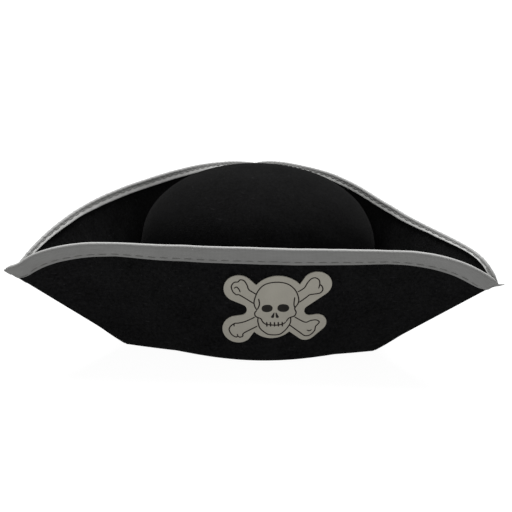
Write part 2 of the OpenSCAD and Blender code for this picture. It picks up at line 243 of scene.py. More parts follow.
    def wave(self, s, v):
        """How far the felt sways out of its ideal shape, in mm along the normal."""
        calm = (1 - np.abs(s) ** 6) * smooth(v, 0.05, 0.7)
        return self.sway * calm * (ripple(s * 1.9 + 0.2 * v, self.seed) * 0.8
                                   + ripple(s * 4.7 - 0.5 * v, self.seed + 5) * 0.25)

    def outer(self, s, v):
        """Outer face."""
        return self.wall(s, v) + self.normal(s, v) * self.wave(*np.broadcast_arrays(s, v))[..., None]

    def felt(self, s):
        """Thickness of the felt, which is pinched together at the points."""
        return np.minimum(FELT_T, 0.25 + self.PINCH * (1 - np.abs(s)) * self.half)

    def squeezed(self, s, v):
        """Thickness of the felt at v, less under the ribbon's fold."""
        near = smooth(v * self.length(s), self.length(s) - 12, self.length(s))
        return self.felt(s) * mix(1.0, self.edge / FELT_T, near)

    def keel_offset(self, s):
        n = self.normal(s, np.full_like(s, 0.1))
        return UP * (self.felt(s) / np.maximum(0.3, n[..., 2]))[..., None]

    def offset(self, s, v):
        """Vector from the outer to the inner face."""
        s, v = np.broadcast_arrays(s, v)
        share = np.where(np.abs(s) > FOLD_SHARE, 1.0, np.abs(s / FOLD_SHARE) ** 8) * (1 - v)
        return mix(self.normal(s, v) * self.squeezed(s, v)[..., None], self.keel_offset(s), share[..., None])

    def inner(self, s, v):
        return self.outer(s, v) + self.offset(s, v)

    # The bend that turns the panel up, and the flange under it
    def bend_length(self, s):
        return np.where(np.abs(s) > FOLD_SHARE, 0.0,
                        mix(BEND_MID, BEND_CORNER, np.abs(s / FOLD_SHARE) ** 4))

    def bend(self, s, u):
        """Outer face and thickness of the bend: u is 0 on the flange and 1 on the wall."""
        corner = self.fold(s)
        ring = at(RING_R, np.degrees(np.arctan2(corner[..., 0], -corner[..., 1])))
        span = np.linalg.norm(ring - corner, axis=-1)
        share = np.minimum(0.97, self.bend_length(s) / span)[..., None]
        start = mix(corner, ring, share)
        end = self.outer(s, self.bend_length(s) / self.length(s))
        n = self.normal(s, np.full_like(s, 0.0))
        inward = -unit(flattened(corner))
        level = np.maximum(0.3, np.linalg.norm(flattened(n), axis=-1))
        elbow = UP * FELT_T + inward * (FELT_T * (1 - n[..., 2]) / level)[..., None]
        share = (np.abs(s / FOLD_SHARE) ** 8)[..., None]
        elbow = mix(elbow, self.keel_offset(s), share)
        last = self.offset(s, self.bend_length(s) / self.length(s))
        a, b, c = (1 - u) ** 2, 2 * u * (1 - u), u * u
        return start * a + corner * b + end * c, UP * FELT_T * a + elbow * b + last * c, ring


FRONT = Panel((LEFT_FOOT, RIGHT_FOOT), (LEFT_POINT, RIGHT_POINT), 21.0, (5.6, 5.8), hump=2.2,
              bump=(-6.0, -0.955, 0.04), seed=0.3, sway=0.4)
RIGHT = Panel((RIGHT_FOOT, REAR_FOOT), (RIGHT_POINT, REAR_POINT), 17.3, (13.0, 4.0),
              bump=(7.6, 0.15, 0.4), edge=1.7, seed=2.1)
LEFT = Panel((REAR_FOOT, LEFT_FOOT), (REAR_POINT, LEFT_POINT), 26.8, (2.5, 2.5), skew=7.0, edge=1.7,
             drop=6.5, seed=4.6)


# ---------------------------------------------------------------- meshes
def build(name, points, faces, material, cloth=None):
    """Mesh object from points in mm. cloth holds each point's place on it, in metres, and how much painted
    shade darkens it.
    """
    mesh = bpy.data.meshes.new(name)
    mesh.from_pydata((np.asarray(points, float) * MM).tolist(), [], [list(map(int, f)) for f in faces])
    if cloth is not None:
        spot = mesh.attributes.new("cloth", "FLOAT_VECTOR", "POINT")
        spot.data.foreach_set("vector", np.asarray(cloth, np.float32).ravel())
    work = bmesh.new()
    work.from_mesh(mesh)
    bmesh.ops.remove_doubles(work, verts=work.verts, dist=2e-6)
    bmesh.ops.recalc_face_normals(work, faces=work.faces)
    for face in work.faces:
        face.smooth = True
    work.to_mesh(mesh)
    work.free()
    mesh.materials.append(material)
    thing = bpy.data.objects.new(name, mesh)
    bpy.context.scene.collection.objects.link(thing)
    return thing


def grid_faces(rows, columns, start=0):
    """Quads of a rows by columns grid of points."""
    i, j = np.meshgrid(np.arange(rows - 1), np.arange(columns - 1), indexing="ij")
    a = (start + i * columns + j).ravel()
    return np.stack([a, a + columns, a + columns + 1, a + 1], -1).tolist()


def tube_faces(rings, sides, start=0):
    """Quads round a tube of rings, with a cap at each end."""
    faces = []
    for k in range(rings - 1):
        for c in range(sides):
            a, b = start + k * sides + c, start + k * sides + (c + 1) % sides
            faces.append([a, b, b + sides, a + sides])
    faces.append([start + c for c in reversed(range(sides))])
    faces.append([start + (rings - 1) * sides + c for c in range(sides)])
    return faces


def shell(sheet, faces, through, bulge=0.0, steps=3):
    """Closed solid: a sheet's points and faces, and the vector through its thickness at each point.

    The rim is rounded outward by bulge. Returns points, faces and each point's place in the sheet."""
    count = len(sheet)
    owner = {}
    for face in faces:
        centre = sheet[face].mean(0)
        for a, b in zip(face, face[1:] + face[:1]):
            owner[(a, b)] = centre
    rim = [(a, b) for a, b in owner if (b, a) not in owner]
    outward = np.zeros_like(sheet)
    for a, b in rim:
        edge = unit(sheet[b] - sheet[a])
        away = (sheet[a] + sheet[b]) / 2 - owner[(a, b)]
        away = unit(away - edge * (away @ edge))
        outward[a] += away
        outward[b] += away
    ids = sorted({i for edge in rim for i in edge})
    place = {i: k for k, i in enumerate(ids)}
    out = unit(outward[ids])
    points, source = [sheet, sheet + through], [np.arange(count), np.arange(count)]
    for k in range(1, steps):
        angle = math.pi * k / steps
        points.append(sheet[ids] + through[ids] * (1 - math.cos(angle)) / 2
                      + out * (bulge * math.sin(angle)))
        source.append(np.array(ids))

    def rim_point(i, k):
        if k == 0:
            return i
        return count + i if k == steps else 2 * count + (k - 1) * len(ids) + place[i]

    solid = list(faces) + [[count + i for i in reversed(face)] for face in faces]
    for a, b in rim:
        for k in range(steps):
            solid.append([rim_point(b, k), rim_point(a, k), rim_point(a, k + 1), rim_point(b, k + 1)])
    return np.concatenate(points), solid, np.concatenate(source)


def place_piece(thing, node):
    """Puts a piece on the hat's body, to stand for a CAD node."""
    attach(thing, ROOT)
    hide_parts(node)
    return thing


# ---------------------------------------------------------------- materials
def add(tree, kind, inputs=None, **settings):
    """Node with its settings, whose inputs are numbers or other nodes' sockets."""
    made = tree.nodes.new("ShaderNode" + kind)
    for key, value in settings.items():
        setattr(made, key, value)
    for key, value in (inputs or {}).items():
        if isinstance(value, bpy.types.NodeSocket):
            tree.links.new(value, made.inputs[key])
        else:
            made.inputs[key].default_value = value
    return made


def ramp(tree, value, stops):
    """Colour ramp from (position, grey or colour) stops."""
    made = add(tree, "ValToRGB", {"Fac": value})
    elements = made.color_ramp.elements
    while len(elements) < len(stops):
        elements.new(0.5)
    for element, (position, colour) in zip(elements, stops):
        element.position = position
        colour = (colour,) * 3 if isinstance(colour, float) else colour
        element.color = (*colour, 1)
    return made.outputs["Color"]


def math_node(tree, operation, a, b=0.0):
    return add(tree, "Math", {0: a, 1: b}, operation=operation).outputs[0]


def blended(tree, first, *others):
    """Sum of (output, weight) pairs."""
    total = math_node(tree, "MULTIPLY", *first)
    for output, weight in others:
        total = math_node(tree, "ADD", total, math_node(tree, "MULTIPLY", output, weight))
    return total


def new_material(name, **constants):
    """Material and its shader, with the shader's constant inputs set."""
    made = bpy.data.materials.new(name)
    made.use_nodes = True
    shader = made.node_tree.nodes["Principled BSDF"]
    for key, value in constants.items():
        shader.inputs[key.replace("_", " ")].default_value = value
    return made, made.node_tree, shader


def noise(tree, vector, scale, detail=3.0, roughness=0.6, stretch=None):
    if stretch:
        vector = add(tree, "Mapping", {"Vector": vector, "Scale": stretch}).outputs["Vector"]
    inputs = {"Vector": vector, "Scale": scale, "Detail": detail, "Roughness": roughness}
    return add(tree, "TexNoise", inputs).outputs["Fac"]


def bump(tree, shader, height, strength, distance):
    made = add(tree, "Bump", {"Height": height, "Strength": strength, "Distance": distance})
    tree.links.new(made.outputs["Normal"], shader.inputs["Normal"])


def felt_material(name, dark, light, lint):
    """Needled felt: matted fibres in two directions, faint mottling and stray lint."""
    made, tree, shader = new_material(
        name, Roughness=0.95, Specular_IOR_Level=0.02, Sheen_Weight=0.012, Sheen_Roughness=0.4)
    spot = add(tree, "TexCoord").outputs["Object"]
    mottle = noise(tree, spot, 38, 3, 0.55)
    tuft = noise(tree, spot, 1300, 3, 0.7)
    upright = noise(tree, spot, 900, 2, 0.6, (1, 1, 0.12))
    level = noise(tree, spot, 900, 2, 0.6, (0.14, 0.14, 1))
    fibre = math_node(tree, "MAXIMUM", upright, level)
    clump = noise(tree, spot, 420, 2, 0.6)
    blend = blended(tree, (mottle, 0.22), (tuft, 0.38), (clump, 0.4))
    base = ramp(tree, blend, [(0.36, (dark, dark, dark * 1.04)), (0.62, (light, light, light * 1.04))])
    stray = ramp(tree, fibre, [(0.66, 0.0), (0.8, 1.0)])
    colour = add(tree, "MixRGB", {"Fac": stray, "Color1": base, "Color2": (lint, lint, lint * 1.05, 1)})
    tree.links.new(colour.outputs["Color"], shader.inputs["Base Color"])
    bump(tree, shader, blended(tree, (tuft, 1.0), (fibre, 0.7)), 0.55, 0.0005)
    return made


def ribbon_material(name, tone=0.40):
    """Woven ribbon: fine cross ribs, lengthwise threads, a soft satin sheen, faint soiling and painted
    shade, mixed towards near black by the third value of the cloth attribute.
    """
    made, tree, shader = new_material(
        name, Specular_IOR_Level=0.35, Sheen_Weight=0.2, Sheen_Roughness=0.5,
        Sheen_Tint=(0.9, 0.9, 0.92, 1))
    stored = add(tree, "Attribute", attribute_name="cloth").outputs["Vector"]
    spot = add(tree, "VectorMath", {0: stored, 1: (1.0, 1.0, 0.0)}, operation="MULTIPLY").outputs["Vector"]
    # Third value of the cloth attribute: how much painted shade darkens the ribbon.
    painted_shade_fac = add(tree, "SeparateXYZ", {"Vector": stored}).outputs["Z"]
    ribs = add(tree, "TexWave", {"Vector": spot, "Scale": 320.0, "Distortion": 1.2, "Detail": 2.0,
                                 "Detail Scale": 1.5}, wave_type="BANDS", bands_direction="X")
    threads = add(tree, "TexWave", {"Vector": spot, "Scale": 520.0, "Distortion": 1.0, "Detail": 1.0},
                  wave_type="BANDS", bands_direction="Y")
    slub = noise(tree, spot, 700, 3, 0.6, (0.15, 1, 1))
    soil = noise(tree, spot, 32, 4, 0.6, (0.5, 1.6, 1))
    blend = blended(tree, (soil, 0.6), (slub, 0.4))
    low, high = tone * 0.84, tone * 1.1
    base = ramp(tree, blend, [(0.32, (low, low, low * 0.97)), (0.68, (high, high, high * 0.985))])
    dark = ramp(tree, ribs.outputs["Fac"], [(0.0, 0.86), (0.6, 1.0)])
    colour = add(tree, "MixRGB", {"Fac": 1.0, "Color1": base, "Color2": dark}, blend_type="MULTIPLY")
    # Painted shade: mixes the ribbon's colour towards near black where the attribute asks for it.
    painted_shade_mix = add(tree, "MixRGB", {"Fac": painted_shade_fac, "Color1": colour.outputs["Color"],
                                "Color2": (0.05, 0.05, 0.05, 1)})
    tree.links.new(painted_shade_mix.outputs["Color"], shader.inputs["Base Color"])
    tree.links.new(ramp(tree, slub, [(0.3, 0.5), (0.7, 0.68)]), shader.inputs["Roughness"])
    height = blended(tree, (ribs.outputs["Fac"], 1.0), (threads.outputs["Fac"], 0.5), (slub, 0.8))
    bump(tree, shader, height, 0.3, 0.0002)
    return made


def thread_material(name, colour):
    """Spun thread: fine fibres across a slightly uneven colour."""
    made, tree, shader = new_material(name, Roughness=0.8, Specular_IOR_Level=0.3, Sheen_Weight=0.2)
    spot = add(tree, "TexCoord").outputs["Object"]
    fibre = noise(tree, spot, 4200, 3, 0.65)
    low, high = [c * 0.75 for c in colour], [min(1.0, c * 1.2) for c in colour]
    tree.links.new(ramp(tree, fibre, [(0.3, tuple(low)), (0.7, tuple(high))]), shader.inputs["Base Color"])
    bump(tree, shader, fibre, 0.4, 0.0002)
    return made


def print_film_material(name, colour, grain=0.06):
    """Matte printed film with a fine grain and faint blotches."""
    made, tree, shader = new_material(name, Specular_IOR_Level=0.12)
    spot = add(tree, "TexCoord").outputs["Object"]
    fine = noise(tree, spot, 1500, 3, 0.6)
    blotch = noise(tree, spot, 70, 3, 0.5)
    blend = blended(tree, (fine, 0.5), (blotch, 0.5))
    low = tuple(c * (1 - grain) for c in colour)
    high = tuple(min(1.0, c * (1 + grain)) for c in colour)
    tree.links.new(ramp(tree, blend, [(0.35, low), (0.65, high)]), shader.inputs["Base Color"])
    tree.links.new(ramp(tree, fine, [(0.3, 0.55), (0.7, 0.72)]), shader.inputs["Roughness"])
    bump(tree, shader, fine, 0.18, 0.0002)
    return made


def twill_material(name):
    """Black twill tape: diagonal ribs."""
    made, tree, shader = new_material(name, Roughness=0.8, Specular_IOR_Level=0.3, Sheen_Weight=0.2)
    spot = add(tree, "Attribute", attribute_name="cloth").outputs["Vector"]
    ribs = add(tree, "TexWave", {"Vector": spot, "Scale": 230.0, "Distortion": 0.8, "Detail": 1.0},
               wave_type="BANDS", bands_direction="DIAGONAL")
    soil = noise(tree, spot, 60, 3, 0.6)
    blend = blended(tree, (ribs.outputs["Fac"], 0.6), (soil, 0.4))
    tree.links.new(ramp(tree, blend, [(0.2, 0.011), (0.8, 0.03)]), shader.inputs["Base Color"])
    bump(tree, shader, ribs.outputs["Fac"], 0.5, 0.0003)
    return made


FELT = felt_material("black_felt", 0.0045, 0.0185, 0.042)
# Painted shade: the crown's felt is a darker copy of the brim's felt, offsetting the extra light on its
# upward-facing dome.
SHADED_CROWN_FELT = felt_material("crown_felt_painted_darker", 0.0018, 0.0068, 0.014)
RIBBON = ribbon_material("grey_ribbon")
# The grey thread is set darker than the ribbon: partly its own colour, partly painted shade for the stitch
# lines.
GREY_THREAD = thread_material("grey_thread", (0.27, 0.27, 0.26))
BLACK_THREAD = thread_material("black_thread", (0.02, 0.02, 0.022))
PATCH = print_film_material("patch_film", (0.655, 0.627, 0.543))
INK = print_film_material("patch_ink", (0.030, 0.022, 0.020), 0.25)
SOCKET_INK = print_film_material("socket_ink", (0.034, 0.032, 0.029), 0.25)
TWILL = twill_material("black_twill")
GLUE = print_film_material("dried_glue", (0.6, 0.57, 0.45), 0.12)


# ---------------------------------------------------------------- brim
def columns():
    return np.concatenate([
        np.linspace(-END_SHARE, -FOLD_SHARE, KEEL_COLUMNS, endpoint=False),
        np.linspace(-FOLD_SHARE, FOLD_SHARE, FOLD_COLUMNS, endpoint=False),
        np.linspace(FOLD_SHARE, END_SHARE, KEEL_COLUMNS + 1)])


def brim_panel(name, panel):
    """Felt panel: flange under the crown's edge, bend, and wall up to the bound edge."""
    s = columns()
    low = (panel.bend_length(s) / panel.length(s))[:, None]
    rise = np.linspace(0, 1, WALL_ROWS + 1)[None, :]
    v = low + (1 - low) * rise
    wall = panel.outer(s[:, None], v)
    through = panel.offset(s[:, None], v)
    fold = s[KEEL_COLUMNS:KEEL_COLUMNS + FOLD_COLUMNS + 1]
    rows, thick = [], []
    for u in np.linspace(0, 1, BEND_ROWS + 1)[:-1]:
        skin, depth, ring = panel.bend(fold, u)
        rows.append(skin)
        thick.append(depth)
    flange = [mix(ring, rows[0], t) for t in np.linspace(0, 1, FLANGE_ROWS + 1)[:-1]]
    low_rows = np.stack(flange + rows, 1)
    low_thick = np.stack([np.broadcast_to(UP * FELT_T, ring.shape)] * len(flange) + thick, 1)
    # the wall's first row under the fold is shared with the bend
    wide, tall = wall.shape[:2]
    across, deep = low_rows.shape[:2]
    sheet = np.concatenate([wall.reshape(-1, 3), low_rows.reshape(-1, 3)])
    depth = np.concatenate([through.reshape(-1, 3), low_thick.reshape(-1, 3)])
    faces = grid_faces(wide, tall) + grid_faces(across, deep, wide * tall)
    last = wide * tall + np.arange(across) * deep + deep - 1
    first = (KEEL_COLUMNS + np.arange(across)) * tall
    for k in range(across - 1):
        faces.append([int(i) for i in (last[k], last[k + 1], first[k + 1], first[k])])
    points, solid, _ = shell(sheet, faces, depth, bulge=FELT_ROUNDING)
    return place_piece(build(name, points, solid, FELT), name)


# ---------------------------------------------------------------- ribbons
class Binding:
    """Ribbon folded over a panel's top edge."""

    STEP = 1.1                # spacing of its columns, mm
    PITCH = 9.0               # spacing of its stitches, mm

    def __init__(self, panel, leg, inner_leg, flare, pucker, shade, seed, front_end=0):
        self.panel, self.leg, self.inner_leg, self.front_end = panel, leg, inner_leg, front_end
        self.past_keel = -1.2 if front_end else 0.3
        self.flare, self.pucker, self.shade, self.seed = flare, pucker, shade, seed
        self.turn = math.pi * (panel.edge / 2 + RIBBON_GAP)
        dense = np.linspace(-1, 1, 1601)
        self.run, self.dense = run_along(panel.top(dense)), dense

    def s_at(self, x):
        return np.interp(x, self.run, self.dense)

    def from_end(self, x):
        """Distance to the nearer end of the panel's edge."""
        return np.minimum(x, self.run[-1] - x)

    def narrowing(self, s):
        """How much of the inner leg's width is left towards the hat's front points."""
        to_tip = 1 - s * self.front_end
        return mix(0.35, 1.0, smooth(to_tip, 0.02, 0.45)) if self.front_end else 1.0

    def room_below(self, s):
        """Felt left bare between the inner leg and the keel, where the next panel comes in."""
        near_point = smooth(-s, 0.955, 0.972) if not self.front_end else 0.0
        return mix(9.0, 0.6, near_point)

    def surface(self, x, w):
        """Face of the felt side of the ribbon at x mm along it and w mm across it, from the outer edge."""
        panel = self.panel
        s = self.s_at(x)
        s, w = np.broadcast_arrays(s, w)
        felt = panel.squeezed(s, np.ones_like(s))
        turn = self.turn
        n = panel.normal(s, np.ones_like(s))
        length = panel.length(s)
        reach = np.clip(length + self.past_keel, 0.2, self.leg)
        down = np.clip(self.leg - w, 0, None) * reach / self.leg
        outer = panel.outer(s, np.clip(1 - down / np.maximum(length, 1e-3), 0, 1)) - n * RIBBON_GAP
        angle = np.clip((w - self.leg) / turn, 0, 1) * math.pi
        edge = panel.outer(s, np.ones_like(s))
        up = unit(edge - panel.outer(s, np.full_like(s, 0.9)))
        middle = edge + n * (felt / 2)[..., None]
        radius = (felt / 2 + RIBBON_GAP)[..., None]
        arc = middle - n * radius * np.cos(angle)[..., None] + up * radius * np.sin(angle)[..., None]
        deep = np.clip(w - self.leg - turn, 0, None) * self.narrowing(s)
        most = np.clip(length - self.room_below(s), 0.2, None)
        deep = np.minimum(deep, most)
        inner = panel.inner(s, np.clip(1 - deep / np.maximum(length, 1e-3), 0, 1)) + n * RIBBON_GAP
        on_outer = (w <= self.leg)[..., None]
        on_arc = (w < self.leg + turn)[..., None]
        return np.where(on_outer, outer, np.where(on_arc, arc, inner))

    def width(self):
        return self.leg + self.turn + self.inner_leg

    def rows(self):
        """Places of the stitch rows across the ribbon, on its outer and its inner leg."""
        return self.leg * (1 - STITCH_DOWN), self.leg + self.turn + self.inner_leg * INNER_ROW

    def crimp(self, x, w):
        """Fine slanting creases across the fold, from -1 to 1."""
        slant = x + 0.6 * (w - self.leg)
        return ripple(slant / 4.6, self.seed + 1, 3) * (0.7 + 0.3 * ripple(x / 23, self.seed + 3))

    def band(self, w):
        """1 on the fold and down to the inner stitch row, 0 elsewhere."""
        in_row = self.rows()[1]
        return smooth(w, self.leg - 1, self.leg + 1.5) * smooth(-w, -in_row, -in_row + 1.2)

    def relief(self, x, w):
        """Height of the cloth off the felt: a groove along each stitch row, creases and loose edges."""
        out_row, in_row = self.rows()
        beat = 0.5 - 0.5 * np.cos(2 * math.pi * x / self.PITCH)
        height = 0.32 + 0 * x * w
        for row in (out_row, in_row):
            height = height - 0.32 * np.exp(-((w - row) / 0.75) ** 2) * (1 - 0.4 * beat)
        height = height + smooth(-w, -out_row, 0) * (0.15 + 0.04 * ripple(x / 31, self.seed))
        flare = self.flare + 0.1 * ripple(x / 17, self.seed + 2)
        height = height + smooth(w, in_row, self.width()) * flare
        band = self.band(w)
        height = height * (1 - 0.6 * band) + band * self.pucker * self.crimp(x, w)
        height = height + 0.06 * ripple(x / 40 + w / 50, self.seed + 4)
        near_end = self.from_end(x)
        outer_edge = mix(smooth(w, -1, 3), 1, smooth(near_end, 10, 30))
        return height * smooth(near_end, -4, 10) * outer_edge

    def face(self, x, w, lift=0.0):
        """Point on the ribbon's visible face."""
        base = self.surface(x, w)
        step = 0.05
        along = self.surface(x + step, w) - self.surface(x - step, w)
        across = self.surface(x, w + step) - self.surface(x, w - step)
        n = unit(np.cross(along, across))
        return base + n * (self.relief(x, w) + self.cloth_t(x) + lift)[..., None], n

    def tails(self, from_start, from_end, w, lengths):
        """Pulls the raw ends of the ribbon out: aslant at the first end, into a point at the last."""
        chord = unit(self.panel.points[1] - self.panel.points[0])
        aslant = smooth(w, 0, self.leg)
        point = np.exp(-((w - self.leg + 2.0) / 1.3) ** 2)
        first = unit(-chord - UP * 0.3) * (lengths[0] * aslant * smooth(-from_start, -2.5, 0))[..., None]
        last = (chord + UP * 0.25) * (lengths[1] * point * smooth(from_end, -5, 0) ** 2)[..., None]
        return first + last

    def cloth_t(self, x):
        """Thickness of the ribbon, pressed flat at its ends."""
        return RIBBON_T * mix(0.7, 1.0, smooth(self.from_end(x), 0, 10))

    def mesh(self, name, start, end, tails=(0.0, 0.0)):
        """Ribbon from start to end, in mm of its length."""
        total = self.run[-1]
        x = np.linspace(start, total - end, int((total - start - end) / self.STEP))[:, None]
        top = self.leg + self.turn
        w = np.concatenate([
            np.linspace(0, self.leg, 19)[:-1],
            np.linspace(self.leg, top, 10)[:-1],
            np.linspace(top, self.width(), 12)])[None, :]
        face, n = self.face(x, w)
        face = face + self.tails(x - start, x - (total - end), w, tails)
        through = -n * self.cloth_t(x)[..., None]
        sheet = face.reshape(-1, 3)
        faces = grid_faces(*face.shape[:2])
        points, solid, source = shell(sheet, faces, through.reshape(-1, 3), bulge=0.15)
        # Painted shade: the rear ribbons' fold band is darkened, most in its crease troughs, for the shade
        # it sits in; stored as the cloth attribute's third value.
        tone = self.shade * self.band(w) * (0.72 - 0.28 * self.crimp(x, w))
        cloth = np.stack(np.broadcast_arrays(x * MM, w * MM, tone), -1).reshape(-1, 3)[source]
        return build(name, points, solid, RIBBON, cloth)

    def stitches(self, name, start, end):
        """Lock stitches along both legs, each dipping into the cloth at its ends."""
        count = int((self.run[-1] - start - end) / self.PITCH)
        across = np.linspace(-1, 1, 11)
        x = start + (np.arange(count)[:, None] + 0.5 + 0.36 * across) * self.PITCH
        x = np.concatenate([x, x + 0.6])
        w = np.repeat(self.rows(), count)[:, None] + 0.12 * ripple(x / 13, self.seed + 7)
        path, normal = self.face(x, w, 0.34 * (1 - across ** 4) - 0.12)
        return thread_mesh(name, path, normal, LOCK_THREAD_R, GREY_THREAD)


def thread_mesh(name, path, normal, radius, material, sides=8):
    """Two-ply threads along paths of points in mm (thread, point, xyz), with a normal at each point."""
    along = unit(np.gradient(path, axis=1))
    side = unit(np.cross(along, normal))
    over = np.cross(side, along)
    count, steps = path.shape[:2]
    total = np.linalg.norm(np.diff(path, axis=1), axis=-1).sum(1)
    run = total[:, None, None] * np.linspace(0, 1, steps)[:, None]
    ease = 0.25 + 0.75 * np.sqrt(np.clip(1 - np.linspace(-1, 1, steps) ** 6, 0, 1))[:, None]
    turn = 2 * math.pi * np.arange(sides) / sides
    r = (radius * ease * (1 + 0.16 * np.cos(2 * turn + run * 2.6)))[..., None]
    rings = path[:, :, None] + side[:, :, None] * r * np.cos(turn)[:, None] \
        + over[:, :, None] * r * np.sin(turn)[:, None]
    faces = []
    for k in range(count):
        faces += tube_faces(steps, sides, k * steps * sides)
    return build(name, rings.reshape(-1, 3), faces, material)


# ---------------------------------------------------------------- crown and its band
def crown():
    """Moulded felt dome, open below, with the faint unevenness of steamed felt."""
    around = 168
    az = np.linspace(0, 360, around, endpoint=False)

    def profile(radius, wall_h, height, wall_steps, dome_steps):
        z = np.linspace(0, wall_h, wall_steps, endpoint=False)
        wall = np.stack([np.full_like(z, radius), z], -1)
        a = np.linspace(0, math.pi / 2, dome_steps)[:-1]
        dome = np.stack([radius * np.cos(a) ** (2 / DOME_POWER),
                         wall_h + height * np.sin(a) ** (2 / DOME_POWER)], -1)
        return np.concatenate([wall, dome])

    wall_h = CROWN_H - DOME_H
    points, faces = [], []
    for layer, (radius, height) in enumerate(((CROWN_R, DOME_H), (CROWN_R - CROWN_T, DOME_H - CROWN_T))):
        line = profile(radius, wall_h, height, 22, 56)
        r, z = line[:, 0][:, None], line[:, 1][:, None]
        calm = smooth(z, 8, 50) * smooth(r, 4, 30)
        bulge = 0.55 * ripple(az / 133, 1.2) * ripple(z / 61 + az / 300, 3.3) * calm
        bulge = bulge + 0.18 * ripple(az / 41 + z / 40, 6.1) * calm
        shape = at(r + bulge, np.broadcast_to(az, (len(line), around)), z)
        apex = np.array([[0, 0, wall_h + height]])
        start = len(points)
        points += list(shape.reshape(-1, 3)) + list(apex)
        rows = len(line)
        for i in range(rows - 1):
            for j in range(around):
                a, b = start + i * around + j, start + i * around + (j + 1) % around
                faces.append([a, b, b + around, a + around])
        tip = start + rows * around
        for j in range(around):
            faces.append([tip - around + j, tip - around + (j + 1) % around, tip])
        if layer == 0:
            outer_start = start
        else:
            for j in range(around):
                k = (j + 1) % around
                faces.append([outer_start + k, outer_start + j, start + j, start + k])
    # The crown takes the darker felt copy, which is painted shade.
    return place_piece(build("crown", np.array(points), faces, SHADED_CROWN_FELT), "crown")


def sweatband():
    """Twill band inside the head opening, lapped at the back."""
    lap_from, lap_to = 178.0, 186.0
    az = np.linspace(lap_from, lap_to + 360, 300)
    z = np.linspace(0.2, BAND_H, 22)[None, :]
    over = smooth(az, lap_to + 350, lap_to + 354)[:, None]
    radius = HEAD_R + BAND_T - 0.48 * over - 0.42 + 0.05 * ripple(az[:, None] / 9, 2.2) * smooth(z, 20, 30)
    sheet = at(radius + 0.4, np.broadcast_to(az[:, None], (len(az), z.shape[1])), z)
    inward = -unit(flattened(sheet))
    points, solid, source = shell(sheet.reshape(-1, 3), grid_faces(*sheet.shape[:2]),
                                  (inward * 0.42).reshape(-1, 3), bulge=0.15)
    cloth = np.stack(np.broadcast_arrays(np.radians(az[:, None]) * HEAD_R * MM, z * MM, 0.0), -1)
    band = build("sweatband", points, solid, TWILL, cloth.reshape(-1, 3)[source])
    place_piece(band, "sweatband")


def ring_threads(name, count, radius, path_of):
    """Stitches repeated round the crown: path_of gives their azimuths, radii and heights."""
    az, r, z = path_of(360 * (np.arange(count)[:, None] + 0.5) / count)
    path = at(radius + r, az, z)
    threads = thread_mesh(name, path, unit(flattened(path)), RING_THREAD_R, BLACK_THREAD)
    return place_piece(threads, name)


# ---------------------------------------------------------------- patch
# Outline, counter-clockwise: arcs of (centre x, centre y, radius, first and last angle), joined by lines
PATCH_ARCS = [
    (-3.4, -7.6, 19.0, 225, 315),       # under the jaw
    (23.0, -21.5, 8.0, 225, 315),       # lower right bone
    (30.4, -14.7, 8.0, 315, 450),
    (25.3, -2.8, 4.4, 260, 130),        # right bay
    (29.6, 20.2, 11.4, -57, 140),       # upper right bone
    (0.6, 6.3, 21.4, 41, 142),          # over the skull
    (-29.4, 16.0, 11.5, 45, 240),       # upper left bone
    (-27.6, -2.2, 4.7, 60, -70),        # left bay
    (-29.3, -19.3, 11.9, 110, 315),     # lower left bone
]


def arc(x, y, radius, first, last, step=0.7):
    steps = max(3, int(abs(math.radians(last - first)) * radius / step))
    a = np.radians(np.linspace(first, last, steps + 1))
    return np.stack([x + radius * np.cos(a), y + radius * np.sin(a)], -1)


def resample(line, step, closed=False):
    """Points spaced evenly along a line."""
    if closed:
        line = np.concatenate([line, line[:1]])
    run = run_along(line)
    count = max(3, int(round(run[-1] / step)))
    at_run = np.linspace(0, run[-1], count + 1)
    even = np.stack([np.interp(at_run, run, line[:, k]) for k in (0, 1)], -1)
    return even[:-1] if closed else even


def curve(points, step=0.6):
    """Smooth line through a few points."""
    p = np.array(points, float)
    p = np.concatenate([[2 * p[0] - p[1]], p, [2 * p[-1] - p[-2]]])
    t = np.linspace(0, 1, 13)[:-1, None]
    parts = []
    for a, b, c, d in zip(p, p[1:], p[2:], p[3:]):
        parts.append(0.5 * (2 * b + (c - a) * t + (2 * a - 5 * b + 4 * c - d) * t ** 2
                            + (3 * b - a - 3 * c + d) * t ** 3))
    return resample(np.concatenate(parts + [p[-2:-1]]), step)


def inset(loop, depth):
    """Closed loop moved inward by depth."""
    along = unit(np.roll(loop, -1, axis=0) - np.roll(loop, 1, axis=0))
    return loop + np.stack([-along[:, 1], along[:, 0]], -1) * depth


class PatchPlace:
    """Puts the patch's flat drawing on the front panel's outer face."""

    def __init__(self):
        self.s = (PATCH_X + BRIM_SHIFT) / (RIGHT_POINT[0] + BRIM_SHIFT)
        s = np.array(self.s)
        foot = FRONT.fold(s)
        self.up = unit(FRONT.top(s) - foot)
        self.centre = foot + self.up * PATCH_UP
        self.length = float(FRONT.length(s))

    def __call__(self, flat, height):
        x, y = flat[..., 0] * PATCH_SHARE, flat[..., 1]
        half = RIGHT_POINT[0] + BRIM_SHIFT
        s, v = self.s + x / half, (PATCH_UP + y) / self.length
        for _ in range(5):
            p = FRONT.outer(s, v)
            s = s + (PATCH_X + x - p[..., 0]) / half
            v = v + (y - (p - self.centre) @ self.up) / self.length
        return FRONT.outer(s, v) - FRONT.normal(s, v) * (np.broadcast_to(height, x.shape))[..., None]


place = PatchPlace()


def inside(points, loop):
    """Which points lie inside a closed loop."""
    x, y = points[:, 0][:, None], points[:, 1][:, None]
    ax, ay = loop[:, 0][None], loop[:, 1][None]
    bx, by = np.roll(loop[:, 0], -1)[None], np.roll(loop[:, 1], -1)[None]
    crosses = ((ay > y) != (by > y)) & (x < (bx - ax) * (y - ay) / (by - ay + 1e-12) + ax)
    return crosses.sum(1) % 2 == 1


